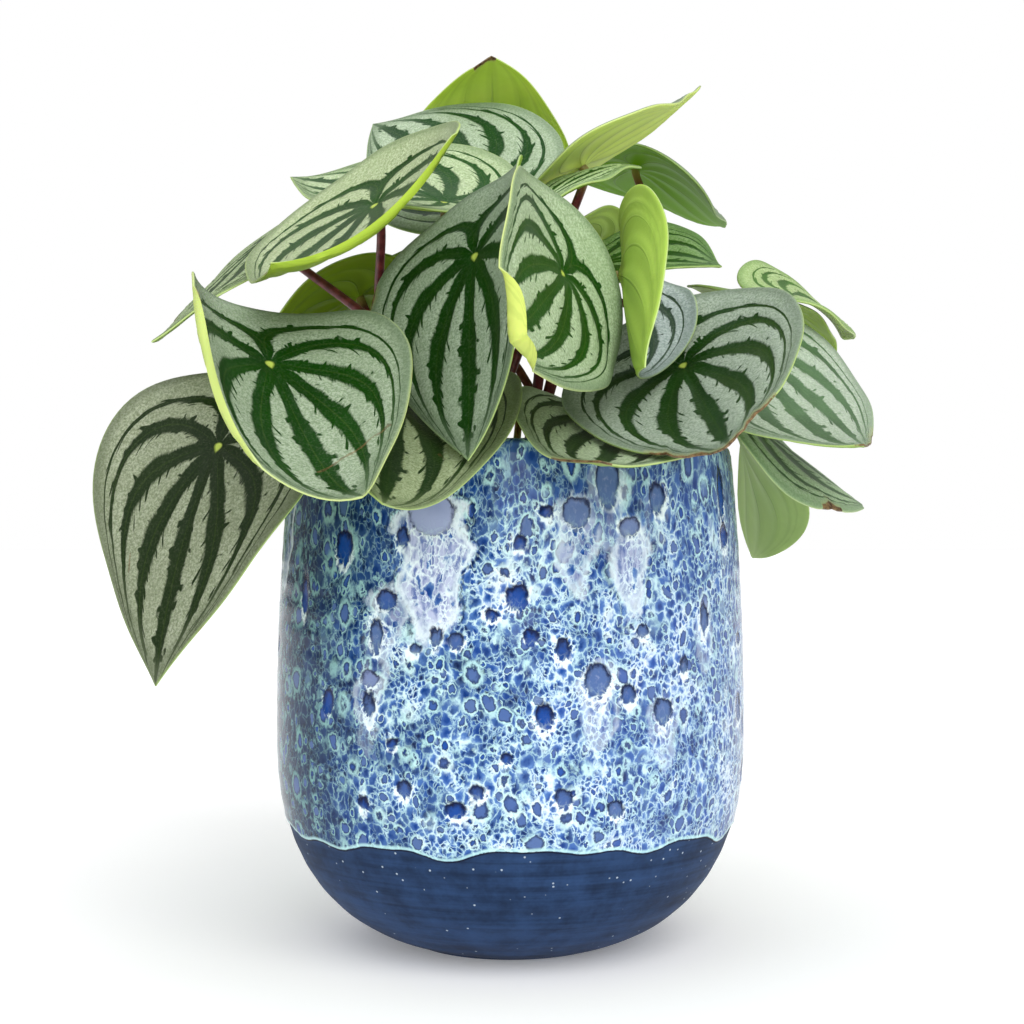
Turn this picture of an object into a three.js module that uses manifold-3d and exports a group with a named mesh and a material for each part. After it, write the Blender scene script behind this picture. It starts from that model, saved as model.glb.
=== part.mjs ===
// A potted watermelon peperomia in a stoneware cover pot.
// Millimetres, +Z up. The origin is the centre of the pot's flat foot and the front of the plant faces -Y.
// Every leaf blade is its own piece. Its stalk grows from one of the crowns, which stand in holes in
// the soil.

import * as THREE from 'three';
import { mergeVertices } from 'three/addons/utils/BufferGeometryUtils.js';
import Module from 'manifold-3d';

const wasm = await Module();
wasm.setup();

// ---- Driving sizes

// Pot
const potHeight = 148;
const widestRadius = 70;
const rimRadius = 66;
const shoulderHeight = 62;      // above this the wall draws in again, very slightly
const footCurveRadius = 10.7;   // where the round of the bottom would meet the axis, had it no flat foot
const footCut = 1.6;            // how much of that round the flat foot takes away
const bottomRoundness = 2.36;   // 2 would be a plain ellipse
const wallThickness = 5;
const floorThickness = 8;
const floorRound = 6;           // how far the floor curves up into the wall, inside
const outerHeights = [0, 1.2, 3.5, 8, 15, 25, 40, 62, 90, 120];
const innerHeights = [9, 13, 22, 40, 62, 90, 120];
const potSides = 48;

// Soil
const soilHeight = 133;
const soilDome = 2.5;           // the middle is a little higher than the edge
const soilSlope = 6;            // width of the sloping edge against the pot
const seatGap = 0.3;            // clearance between pieces that touch

// Leaf blades
const bladeThickness = 0.9;
const hubPlace = 0.27;          // the stalk meets the blade this far along it, from the base
const baseRoundness = 0.52;     // the outline is along^baseRoundness * (1 - along)^taper
const ringPlaces = [0.42, 0.78, 1];
const marginSteps = 12;         // from the tip to the base, on each side

// Stalks and the crowns that they grow from
const stalkRadius = 1.3;
const stalkSides = 6;
const stalkSteps = 8;
const stalkLean = 0.35;         // how far a stalk leans out for each millimetre that it rises
const stalkStart = 4;           // how far from the crown's middle it starts
const crownRadius = 7;
const crownDepth = 14;          // how far a crown reaches into the soil
const crownDome = 6;            // how far it stands out of it
const crownShoulder = 0.7;      // where the dome turns over, as a share of its radius and of its height
const crownSides = 12;
const crowns = {
  front: [2, -17],
  left: [-17, 3],
  right: [18, 4],
  back: [-1, 22],
};

// ---- The leaves

// hub is where the stalk meets the blade. turn is the blade's heading, pitch and roll about it in degrees:
// heading 0 points the tip to +X and 90 to +Y, and a pitch below 0 points it down. size is length and width.
// taper sharpens the tip. droop, baseLift and tipCurl bend the blade along its midrib, cupLeft and cupRight
// raise its sides, and twist turns it about the midrib, each in degrees. A stalk rises from its crown by
// rise, sways to one side by sway and comes up to the blade square on over the length reach.
const usualShape = { taper: 1.05, droop: 15, baseLift: 10, tipCurl: 0, cupLeft: 10, cupRight: 10, twist: 0 };
const usualStalk = { rise: 25, reach: 20, sway: 0 };

const leaves = {
  // Front
  front_left: {
    hub: [-62, -80, 167], turn: [-60, -45, 0], size: [92, 72],
    droop: -10, tipCurl: -40, cupLeft: 50, cupRight: 80, twist: 25,
    crown: 'front', reach: 30, sway: 13,
  },
  front_middle: {
    hub: [-10, -57, 198], turn: [-95, -60, 35], size: [88, 72],
    droop: 10, tipCurl: -10, cupLeft: 65, cupRight: 5,
    crown: 'front', reach: 35, sway: -15,
  },
  middle_right: {
    hub: [14, -80, 190], turn: [-100, -20, -62], size: [92, 60],
    baseLift: -35, tipCurl: -15, cupLeft: -10, cupRight: 15, twist: -10,
    crown: 'front', rise: 95, reach: 40, sway: 15,
  },
  curled: {
    hub: [31, -52, 193], turn: [-95, -35, -85], size: [71, 55],
    droop: -15, baseLift: 0, cupLeft: 120, cupRight: 45, twist: -35,
    crown: 'front', rise: 50, reach: 12,
  },
  front_right: {
    hub: [47, -51, 169], turn: [-80, -30, 30], size: [94, 70],
    droop: -15, baseLift: -30, tipCurl: -10, cupLeft: 15, cupRight: 25, twist: 5,
    crown: 'right',
  },
  rim_middle: {
    hub: [-30, -49, 157], turn: [-90, -20, -10], size: [95, 70],
    droop: 20, baseLift: 0, tipCurl: -35, cupLeft: 50, cupRight: 40, twist: -20,
    crown: 'front', rise: 16,
  },
  rim_right: {
    hub: [31, -47, 152], turn: [-100, -16, -12], size: [86, 62],
    droop: 0, baseLift: 30, tipCurl: -25, cupLeft: 22, cupRight: 18, twist: 10,
    crown: 'front', rise: 16,
  },

  // Left
  hanging_left: {
    hub: [-81, -46, 147], turn: [-125, -60, -10], size: [95, 72],
    droop: 25, cupLeft: 5, cupRight: 15, twist: 15,
    crown: 'left', rise: 50,
  },
  upper_left: {
    hub: [-38, -44, 214], turn: [-105, -35, 20], size: [93, 73],
    droop: -15, baseLift: -30, tipCurl: -30, cupLeft: 35, twist: -5,
    crown: 'left', rise: 40, reach: 12, sway: -30,
  },
  far_left: {
    hub: [-72, -7, 210], turn: [-120, -35, 20], size: [86, 58],
    droop: 5, tipCurl: -20, cupLeft: -20, cupRight: -10, twist: 5,
    crown: 'front', rise: 40, reach: 12,
  },
  left_inside: {
    hub: [-48, 23, 197], turn: [160, -30, 5], size: [75, 56],
    droop: 20, tipCurl: -10, cupLeft: 5, cupRight: 5, twist: -15,
    crown: 'left', rise: 8, reach: 6,
  },

  // Top
  top_back: {
    hub: [-6, 92, 253], turn: [-90, 20, -5], size: [91, 59],
    droop: 0, tipCurl: 5, cupLeft: -25, cupRight: -5, twist: 5,
    crown: 'left', rise: 55, reach: 35, sway: 10,
  },
  top: {
    hub: [-10, 27, 233], turn: [135, 31, -40], size: [87, 64],
    droop: 13, baseLift: -5, tipCurl: -2, cupLeft: 2, cupRight: 11, twist: -11,
    crown: 'right', rise: 71, reach: 23, sway: 35,
  },
  top_right: {
    hub: [21, 2, 234], turn: [32, 28, -26], size: [78, 63], taper: 1.3,
    droop: -3, baseLift: 4, tipCurl: -16, cupLeft: 17, cupRight: -18, twist: 11,
    crown: 'left', rise: 110, reach: 5, sway: 35,
  },
  upper_middle: {
    hub: [-19, -13, 220], turn: [150, 20, -17], size: [83, 60],
    droop: 25, baseLift: -20, tipCurl: -25, cupRight: 40, twist: -15,
    crown: 'left', rise: 40, reach: 30, sway: 15,
  },
  upper_right: {
    hub: [42, 58, 244], turn: [53, -14, 0], size: [85, 64], taper: 1.3,
    droop: 10, tipCurl: -43, cupLeft: 5, cupRight: -50, twist: 19,
    crown: 'right', rise: 65, reach: 5, sway: -35,
  },
  small_upper: {
    hub: [6, -25, 214], turn: [20, 45, 0], size: [54, 37],
    droop: 35, tipCurl: 15, cupLeft: -5, cupRight: 5, twist: 25,
    crown: 'front', rise: 90, reach: 35, sway: 10,
  },
  back_inside: {
    hub: [26, 47, 215], turn: [-150, -20, 35], size: [56, 37],
    droop: 5, baseLift: 15, tipCurl: 5, cupRight: 20, twist: -10,
    crown: 'front', rise: 50, reach: 12, sway: -30,
  },

  // Right
  right_inside: {
    hub: [26, 3, 203], turn: [-50, 0, 25], size: [69, 58],
    tipCurl: -5, cupLeft: 20, cupRight: -25, twist: -20,
    crown: 'right', rise: 90, reach: 30, sway: 20,
  },
  right: {
    hub: [72, -6, 178], turn: [-65, -50, 0], size: [92, 70],
    droop: -30, tipCurl: -30, cupLeft: -10, cupRight: 0, twist: 5,
    crown: 'front', rise: 50, reach: 12, sway: -15,
  },
  right_low: {
    hub: [72, -2, 155], turn: [45, -20, 35], size: [91, 72],
    droop: 10, baseLift: 0, tipCurl: -15, cupLeft: 30, cupRight: -20, twist: -15,
    crown: 'right', rise: 40, reach: 12,
  },
  right_hanging: {
    hub: [76, 55, 156], turn: [70, -40, 75], size: [92, 75],
    droop: 20, baseLift: 0, tipCurl: -20, cupLeft: 30, cupRight: 55, twist: -15,
    crown: 'right',
  },
  right_small: {
    hub: [89, 21, 196], turn: [60, 0, 20], size: [73, 40],
    baseLift: 15, tipCurl: 10, cupLeft: 35, cupRight: -20, twist: 30,
    crown: 'back', rise: 50, sway: 15,
  },
  right_behind: {
    hub: [77, 49, 198], turn: [35, -15, 5], size: [64, 48],
    cupLeft: 20, cupRight: -5, twist: -5,
    crown: 'right',
  },

  // Back
  back_right_middle: { hub: [42, 56, 167], turn: [75, -20, -25], size: [84, 66], crown: 'back', rise: 16 },
  back_low: { hub: [3, 70, 165], turn: [78, 0, 2], size: [90, 70], cupLeft: 0, twist: 8, crown: 'back', rise: 16 },
  back_left_middle: {
    hub: [-30, 62, 179], turn: [135, -34, -22], size: [84, 66],
    cupLeft: 0, twist: -5,
    crown: 'back', reach: 12,
  },
  back_left: {
    hub: [-67, 29, 158], turn: [156, -50, 0], size: [84, 66],
    cupLeft: 0,
    crown: 'left', rise: 16, reach: 12,
  },
  back_upper_right: {
    hub: [20, 49, 192], turn: [75, 4, 15], size: [80, 62],
    crown: 'right', rise: 60, reach: 55, sway: 10,
  },
  back_upper_left: {
    hub: [-33, 44, 208], turn: [115, -26, -28], size: [78, 64],
    crown: 'right', rise: 50, reach: 12, sway: -15,
  },
};

for (const leaf of Object.values(leaves)) {
  Object.assign(leaf, { ...usualShape, ...usualStalk, ...leaf });
}

// ---- Small helpers

const degrees = Math.PI / 180;
const weldDistance = 1e-4;

function toSolid(geometry) {
  geometry.deleteAttribute('normal');
  geometry.deleteAttribute('uv');
  const clean = mergeVertices(geometry, weldDistance);
  return new wasm.Manifold(new wasm.Mesh({
    numProp: 3,
    vertProperties: new Float32Array(clean.attributes.position.array),
    triVerts: new Uint32Array(clean.index.array),
  }));
}

function toGeometry(solid) {
  const mesh = solid.getMesh();
  const geometry = new THREE.BufferGeometry();
  geometry.setAttribute('position', new THREE.BufferAttribute(new Float32Array(mesh.vertProperties), 3));
  geometry.setIndex(new THREE.BufferAttribute(new Uint32Array(mesh.triVerts), 1));
  return geometry;
}

function namedMesh(name, geometry, material) {
  const mesh = new THREE.Mesh(geometry, material);
  mesh.name = name;
  return mesh;
}

// A profile of [radius, height] points turned about Z
function turned(profile, sides) {
  const geometry = new THREE.LatheGeometry(profile.map((point) => new THREE.Vector2(...point)), sides);
  geometry.rotateX(Math.PI / 2);
  return geometry;
}

// ---- Pot

function wallRadius(height) {
  const roundHeight = shoulderHeight + footCut;
  if (height < shoulderHeight) {
    const drop = 1 - (height + footCut) / roundHeight;
    const reach = (1 - drop ** bottomRoundness) ** (1 / bottomRoundness);
    return footCurveRadius + (widestRadius - footCurveRadius) * reach;
  }
  const rise = (height - shoulderHeight) / (potHeight - shoulderHeight);
  return widestRadius - (widestRadius - rimRadius) * rise ** 2;
}

// The wall is thinnest at the rim and a little thicker low down, as thrown pots are
function innerRadius(height) {
  return wallRadius(height) - wallThickness;
}

// The rounded lip, from its outer side over the top to its inner side
function lipProfile() {
  const lipRadius = wallThickness / 2;
  const lipSteps = 4;
  const profile = [];
  for (let step = 0; step <= lipSteps; step += 1) {
    const turn = Math.PI * step / lipSteps;
    const radius = rimRadius - lipRadius + lipRadius * Math.cos(turn);
    profile.push([radius, potHeight - lipRadius + lipRadius * Math.sin(turn)]);
  }
  return profile;
}

function makePot() {
  const profile = [
    [0, 0],
    ...outerHeights.map((height) => [wallRadius(height), height]),
    ...lipProfile(),
    ...innerHeights.map((height) => [innerRadius(height), height]).reverse(),
    [innerRadius(innerHeights[0]) - floorRound, floorThickness],
    [0, floorThickness],
  ];
  const glaze = new THREE.MeshStandardMaterial({ color: 0x4a72b8, roughness: 0.2, metalness: 0 });
  return namedMesh('pot', turned(profile, potSides), glaze);
}

// ---- Soil, with a plain hole for each crown

function crownHole(place) {
  const depth = crownDepth + seatGap + 2 * soilDome;
  const radius = crownRadius + seatGap;
  const hole = new THREE.CylinderGeometry(radius, radius, depth, crownSides);
  hole.rotateX(Math.PI / 2);
  hole.translate(place[0], place[1], soilHeight - crownDepth - seatGap + depth / 2);
  return toSolid(hole);
}

function makeSoil() {
  const side = innerHeights.map((height) => [innerRadius(height) - 2 * seatGap, height]);
  const edge = innerRadius(soilHeight) - 2 * seatGap;
  const profile = [
    [0, floorThickness + seatGap],
    [side[0][0] - floorRound, floorThickness + seatGap],
    ...side,
    [edge, soilHeight - 1],
    [edge - soilSlope, soilHeight],
    [edge / 2, soilHeight + soilDome * 0.8],
    [0, soilHeight + soilDome],
  ];
  let soil = toSolid(turned(profile, potSides));
  for (const place of Object.values(crowns)) {
    soil = soil.subtract(crownHole(place));
  }
  const crumb = new THREE.MeshStandardMaterial({ color: 0x33261c, roughness: 1, metalness: 0 });
  return namedMesh('soil', toGeometry(soil), crumb);
}

// ---- Leaf blades

// Half the blade's width at `along`, which runs from 0 at its base to 1 at its tip
function halfWidth(leaf, along) {
  const widestAt = baseRoundness / (baseRoundness + leaf.taper);
  const peak = widestAt ** baseRoundness * (1 - widestAt) ** leaf.taper;
  return leaf.size[1] / 2 * along ** baseRoundness * (1 - along) ** leaf.taper / peak;
}

// Points on one side of the margin, evenly spaced from the tip to the base, with the hub at (0, 0)
function marginSide(leaf) {
  const traceSteps = 300;
  const trace = [];
  let travelled = 0;
  for (let step = 0; step <= traceSteps; step += 1) {
    const along = (1 + Math.cos(Math.PI * step / traceSteps)) / 2;
    const point = new THREE.Vector2(leaf.size[0] * (along - hubPlace), halfWidth(leaf, along));
    travelled += step === 0 ? 0 : point.distanceTo(trace[step - 1].point);
    trace.push({ point, travelled });
  }
  const side = [];
  for (let step = 0; step <= marginSteps; step += 1) {
    const wanted = travelled * step / marginSteps;
    const found = trace.findIndex((place) => place.travelled >= wanted);
    const index = found < 1 ? (step === 0 ? 1 : traceSteps) : found;
    const before = trace[index - 1];
    const share = (wanted - before.travelled) / (trace[index].travelled - before.travelled);
    side.push(before.point.clone().lerp(trace[index].point, share));
  }
  return side;
}

// The midrib as a curve in the leaf's own upright plane, at the distance `reach` from the hub
function midribAt(leaf, reach) {
  const towardsTip = reach >= 0;
  const full = leaf.size[0] * (towardsTip ? 1 - hubPlace : -hubPlace);
  const midribSteps = 24;
  let x = 0;
  let z = 0;
  let slope = 0;
  for (let step = 1; step <= midribSteps; step += 1) {
    const share = reach * step / midribSteps / full;
    const bend = towardsTip ? -(leaf.droop * share + leaf.tipCurl * share ** 4) : leaf.baseLift * share;
    const nextSlope = bend * degrees;
    x += (Math.cos(slope) + Math.cos(nextSlope)) / 2 * reach / midribSteps;
    z += (Math.sin(slope) + Math.sin(nextSlope)) / 2 * reach / midribSteps;
    slope = nextSlope;
  }
  return { x, z, slope };
}

// A point of the flat blade, bent along the midrib, cupped across it and twisted about it
function bentPoint(leaf, flat) {
  const [length, width] = leaf.size;
  const rib = midribAt(leaf, flat.x);
  const cup = (flat.y >= 0 ? leaf.cupLeft : leaf.cupRight) * degrees;
  const curl = cup === 0 ? 1e-6 : cup / (width / 2);
  const across = Math.sin(curl * Math.abs(flat.y)) / curl * Math.sign(flat.y);
  const lift = (1 - Math.cos(curl * Math.abs(flat.y))) / curl;
  const twist = leaf.twist * degrees * flat.x / (length * (1 - hubPlace));
  const raised = lift * Math.cos(rib.slope);
  return new THREE.Vector3(
    rib.x - lift * Math.sin(rib.slope),
    across * Math.cos(twist) - raised * Math.sin(twist),
    rib.z + across * Math.sin(twist) + raised * Math.cos(twist),
  );
}

// The leaf's own axes in the plant: towards the tip, to the left of it, and out of the upper face
function leafAxes(leaf) {
  const [heading, pitch, roll] = leaf.turn.map((angle) => angle * degrees);
  const ahead = new THREE.Vector3(
    Math.cos(pitch) * Math.cos(heading), Math.cos(pitch) * Math.sin(heading), Math.sin(pitch));
  const level = new THREE.Vector3(
    -Math.sin(pitch) * Math.cos(heading), -Math.sin(pitch) * Math.sin(heading), Math.cos(pitch));
  const side = new THREE.Vector3().crossVectors(level, ahead);
  const left = side.clone().multiplyScalar(Math.cos(roll)).addScaledVector(level, Math.sin(roll));
  const up = level.clone().multiplyScalar(Math.cos(roll)).addScaledVector(side, -Math.sin(roll));
  return { ahead, left, up };
}

// The blade's middle surface: one corner at the hub and rings of corners out to the margin
function middleSurface(leaf) {
  const leftSide = marginSide(leaf);
  const rightSide = leftSide.map((point) => new THREE.Vector2(point.x, -point.y)).reverse();
  const margin = [...rightSide.slice(0, marginSteps), ...leftSide.slice(0, marginSteps)];
  const { ahead, left, up } = leafAxes(leaf);
  const placement = new THREE.Matrix4().makeBasis(ahead, left, up).setPosition(...leaf.hub);
  const placed = (flat) => bentPoint(leaf, flat).applyMatrix4(placement);
  const points = [placed(new THREE.Vector2(0, 0))];
  for (const ring of ringPlaces) {
    points.push(...margin.map((edge) => placed(edge.clone().multiplyScalar(ring))));
  }
  const count = margin.length;
  const faces = [];
  for (let step = 0; step < count; step += 1) {
    const next = (step + 1) % count;
    faces.push([0, 1 + step, 1 + next]);
    for (let ring = 1; ring < ringPlaces.length; ring += 1) {
      const inner = 1 + (ring - 1) * count;
      const outer = inner + count;
      faces.push([inner + step, outer + step, outer + next]);
      faces.push([inner + step, outer + next, inner + next]);
    }
  }
  return { points, faces, count };
}

// Both faces are the middle surface moved out along its normals, with the same triangles. They are joined
// at the margin.
function bladeGeometry(leaf) {
  const { points, faces, count } = middleSurface(leaf);
  const surface = new THREE.BufferGeometry().setFromPoints(points);
  surface.setIndex(faces.flat());
  surface.computeVertexNormals();
  const normals = surface.attributes.normal;
  const faceAt = (height) => points.map((point, index) => (
    point.clone().addScaledVector(new THREE.Vector3().fromBufferAttribute(normals, index), height)));
  const total = points.length;
  const triangles = [];
  for (const [a, b, c] of faces) {
    triangles.push(a, b, c, a + total, c + total, b + total);
  }
  const rim = total - count;
  for (let step = 0; step < count; step += 1) {
    const here = rim + step;
    const next = rim + (step + 1) % count;
    triangles.push(here, here + total, next + total, here, next + total, next);
  }
  const blade = new THREE.BufferGeometry();
  blade.setFromPoints([...faceAt(bladeThickness / 2), ...faceAt(-bladeThickness / 2)]);
  blade.setIndex(triangles);
  return blade;
}

// ---- Crowns with their stalks

// A stalk rises from its crown and meets the underside of its blade square on
function stalkCurve(leaf) {
  const crown = new THREE.Vector3(...crowns[leaf.crown], soilHeight + soilDome);
  const hub = new THREE.Vector3(...leaf.hub);
  const { up } = leafAxes(leaf);
  const outward = hub.clone().sub(crown).setZ(0).normalize();
  const sideways = new THREE.Vector3(-outward.y, outward.x, 0);
  const start = crown.clone().addScaledVector(outward, stalkStart);
  const rising = start.clone()
    .addScaledVector(new THREE.Vector3(0, 0, 1), leaf.rise)
    .addScaledVector(outward, leaf.rise * stalkLean)
    .addScaledVector(sideways, leaf.sway);
  const end = hub.clone().addScaledVector(up, -bladeThickness / 2 - seatGap);
  const arriving = end.clone().addScaledVector(up, -leaf.reach);
  return new THREE.CubicBezierCurve3(start, rising, arriving, end);
}

function stalkSolid(leaf) {
  const corners = [];
  for (let side = 0; side < stalkSides; side += 1) {
    const turn = 2 * Math.PI * side / stalkSides;
    corners.push(new THREE.Vector2(stalkRadius * Math.cos(turn), stalkRadius * Math.sin(turn)));
  }
  const route = { steps: stalkSteps, extrudePath: stalkCurve(leaf) };
  return toSolid(new THREE.ExtrudeGeometry(new THREE.Shape(corners), route));
}

function crownStem(place) {
  const bottom = soilHeight - crownDepth;
  const top = soilHeight + soilDome;
  const stem = turned([
    [0, bottom],
    [crownRadius, bottom],
    [crownRadius, top],
    [crownRadius * crownShoulder, top + crownDome * crownShoulder],
    [0, top + crownDome],
  ], crownSides);
  stem.translate(...place, 0);
  return toSolid(stem);
}

const stalkRed = new THREE.MeshStandardMaterial({ color: 0x6b2a30, roughness: 0.5, metalness: 0 });

function makeCrown(name, place) {
  let crown = crownStem(place);
  for (const leaf of Object.values(leaves)) {
    if (leaf.crown === name) {
      crown = crown.add(stalkSolid(leaf));
    }
  }
  return namedMesh(`crown_${name}`, toGeometry(crown), stalkRed);
}

// ---- The whole plant

const bladeGreen = new THREE.MeshStandardMaterial({ color: 0x8fa886, roughness: 0.45, metalness: 0 });

const plant = new THREE.Group();
plant.add(makePot());
plant.add(makeSoil());
for (const [name, place] of Object.entries(crowns)) {
  plant.add(makeCrown(name, place));
}
for (const [name, leaf] of Object.entries(leaves)) {
  plant.add(namedMesh(`leaf_${name}`, bladeGeometry(leaf), bladeGreen));
}

export default plant;
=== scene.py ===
# A potted watermelon peperomia: striped leaves on red stalks, in a cover pot with a reactive blue glaze.
# The leaf shapes repeat the CAD part's own values, only with a finer mesh.
import bpy
import math
import random
import numpy as np
from mathutils import Vector, Matrix
from mathutils import noise as chaos


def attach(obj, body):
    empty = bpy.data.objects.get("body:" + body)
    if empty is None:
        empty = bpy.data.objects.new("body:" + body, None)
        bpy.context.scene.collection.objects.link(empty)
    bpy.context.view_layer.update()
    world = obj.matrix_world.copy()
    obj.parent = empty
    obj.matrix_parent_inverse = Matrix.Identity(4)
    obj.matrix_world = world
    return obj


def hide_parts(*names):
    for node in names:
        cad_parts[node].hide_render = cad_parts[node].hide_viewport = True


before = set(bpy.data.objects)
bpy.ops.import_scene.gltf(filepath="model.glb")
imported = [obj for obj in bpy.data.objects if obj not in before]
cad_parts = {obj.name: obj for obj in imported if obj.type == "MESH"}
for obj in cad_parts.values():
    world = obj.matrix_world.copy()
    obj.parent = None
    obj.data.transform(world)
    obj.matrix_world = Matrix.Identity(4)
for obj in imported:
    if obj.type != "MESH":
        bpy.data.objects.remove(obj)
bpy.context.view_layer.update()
mm = 0.001


# small helpers for objects

def deselectAll():
    if bpy.context.mode != "OBJECT":
        bpy.ops.object.mode_set(mode="OBJECT")
    bpy.ops.object.select_all(action="DESELECT")


def pick(piece):
    deselectAll()
    piece.select_set(True)
    bpy.context.view_layer.objects.active = piece


def applyModifiers(piece):
    pick(piece)
    for modifier in list(piece.modifiers):
        bpy.ops.object.modifier_apply(modifier=modifier.name)


def copyOf(piece, name):
    twin = piece.copy()
    twin.data = piece.data.copy()
    twin.name = name
    twin.data.name = name
    bpy.context.collection.objects.link(twin)
    return twin


def points(piece):
    flat = np.empty(len(piece.data.vertices) * 3)
    piece.data.vertices.foreach_get("co", flat)
    return flat.reshape(-1, 3)


def movePoints(piece, places):
    piece.data.vertices.foreach_set("co", places.reshape(-1))
    piece.data.update()


def normals(piece):
    flat = np.empty(len(piece.data.vertices) * 3)
    piece.data.vertex_normals.foreach_get("vector", flat)
    return flat.reshape(-1, 3)


def paint(piece, name, values, kind="FLOAT", key="value"):
    # keeps a value for each point, which the materials read
    layer = piece.data.attributes.new(name, kind, "POINT")
    layer.data.foreach_set(key, np.asarray(values, dtype=np.float32).reshape(-1))


def smooth(piece, angle):
    pick(piece)
    bpy.ops.object.shade_smooth_by_angle(angle=math.radians(angle))


def startDisc(name, sides, radius, place=(0, 0, 0), flip=False):
    # a filled disc, whose rim is left selected so that rings can grow from it
    deselectAll()
    bpy.ops.mesh.primitive_circle_add(vertices=sides, radius=radius, fill_type="TRIFAN", location=place)
    disc = bpy.context.object
    disc.name = name
    bpy.ops.object.transform_apply(location=True)
    bpy.ops.object.mode_set(mode="EDIT")
    bpy.ops.mesh.select_all(action="SELECT")
    if flip:
        bpy.ops.mesh.flip_normals()
    bpy.ops.mesh.region_to_loop()
    return disc


def growRing(radius, height, last, x=0, y=0):
    # extrudes the selected ring to the next radius and height
    bpy.ops.mesh.extrude_edges_move(TRANSFORM_OT_translate={"value": (0, 0, (height - last[1]) * mm)})
    change = radius / last[0]
    centre = (x * mm, y * mm, height * mm)
    bpy.ops.transform.resize(value=(change, change, 1), center_override=centre)
    return radius, height


def closeRings():
    bpy.ops.mesh.edge_face_add()
    bpy.ops.object.mode_set(mode="OBJECT")


def finishPiece(piece, slot, *nodes):
    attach(piece, "root")
    if nodes:
        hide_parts(*nodes)


# small helpers for materials: the nodes are added to the tree of the material that is being made

making = dict(tree=None)


def rgb(red, green, blue):
    shares = [level / 255 for level in (red, green, blue)]
    return (*(share / 12.92 if share <= 0.04 else ((share + 0.055) / 1.055) ** 2.4 for share in shares), 1)


class Value:
    # a number, a colour or a vector in a material's nodes, which arithmetic joins by further nodes

    def __init__(self, socket):
        self.socket = socket


signs = dict(add="ADD", sub="SUBTRACT", mul="MULTIPLY", truediv="DIVIDE", pow="POWER")
for sign, operation in signs.items():
    setattr(Value, f"__{sign}__", lambda left, right, operation=operation: calc(operation, left, right))
    setattr(Value, f"__r{sign}__", lambda right, left, operation=operation: calc(operation, left, right))


def plug(socket, value):
    if isinstance(value, Value):
        socket.id_data.links.new(value.socket, socket)
    elif value is not None:
        socket.default_value = value


def setSockets(node, **values):
    for key, value in values.items():
        plug(node.inputs[key.replace("_", " ")], value)


def addNode(kind, settings=None, values=(), **named):
    # the node's outputs are given by name and by number
    made = making["tree"].nodes.new("ShaderNode" + kind)
    for key, value in (settings or {}).items():
        setattr(made, key, value)
    for socket, value in zip(made.inputs, values):
        plug(socket, value)
    setSockets(made, **named)
    outputs = {}
    for number, socket in enumerate(made.outputs):
        outputs[number] = outputs[socket.name] = Value(socket)
    return outputs


def calc(operation, *values, clamp=False):
    return addNode("Math", dict(operation=operation, use_clamp=clamp), values)[0]


def fade(value, low, high, toLow=0.0, toHigh=1.0):
    ends = dict(From_Min=low, From_Max=high, To_Min=toLow, To_Max=toHigh)
    return addNode("MapRange", dict(interpolation_type="SMOOTHSTEP"), Value=value, **ends)[0]


def mix(factor, a, b):
    # the node's inputs 1 to 5 and outputs 0 and 1 are for plain numbers and vectors
    return addNode("Mix", dict(data_type="RGBA"), (factor, *[None] * 5, a, b))[2]


def aboutHalf(value, strength):
    return (value - 0.5) * strength


def attribute(name, output="Fac"):
    return addNode("Attribute", dict(attribute_name=name))[output]


def objectPlace():
    return addNode("TexCoord")["Object"]


def vectorCalc(operation, a, b=None, scale=None, output=0):
    return addNode("VectorMath", dict(operation=operation), (a, b, None, scale))[output]


def noise(vector, scale, detail=2.0, rough=0.5, output="Fac"):
    return addNode("TexNoise", Vector=vector, Scale=scale, Detail=detail, Roughness=rough)[output]


def newMaterial(name):
    material = bpy.data.materials.new(name)
    material.use_nodes = True
    tree = making["tree"] = material.node_tree
    tree.nodes.clear()
    output = tree.nodes.new("ShaderNodeOutputMaterial")
    shader = tree.nodes.new("ShaderNodeBsdfPrincipled")
    tree.links.new(shader.outputs[0], output.inputs[0])
    return material, shader


def bump(shader, height, distance, strength=1.0):
    made = addNode("Bump", Height=height, Distance=distance, Strength=strength)
    setSockets(shader, Normal=made[0])


# the camera stands where the photograph was taken, with the scene's floor and lights

view = dict(distance=0.543, height=0.127)
lens = dict(lens=63.14, sensor_width=36, shift_x=0.0015, shift_y=0.0044, clip_start=0.01)

camera = bpy.data.objects.new("camera", bpy.data.cameras.new("camera"))
bpy.context.scene.collection.objects.link(camera)
camera.location = (0, -view["distance"], view["height"])
camera.rotation_euler = (math.radians(90), 0, 0)
for key, value in lens.items():
    setattr(camera.data, key, value)
bpy.context.scene.camera = camera

studio = dict(
    floorSize=12.0, floorColour=(0.95, 0.95, 0.95, 1), floorGlow=0.17, skyLight=0.36, backdrop=1,
)
lights = {
    "keyLight": dict(place=(0.5, -1.0, 0.95), spread=48, power=1.5, colour=(1, 0.99, 0.97)),
    "fillLight": dict(place=(-0.8, -0.9, 0.75), spread=60, power=0.55, colour=(0.95, 0.98, 1)),
    "frontLight": dict(place=(0.12, -1.0, 0.25), spread=30, power=0.75, colour=(1, 1, 1)),
    "topLight": dict(place=(-0.1, 0.1, 1.2), spread=75, power=0.9, colour=(0.97, 0.99, 1)),
}


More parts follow.
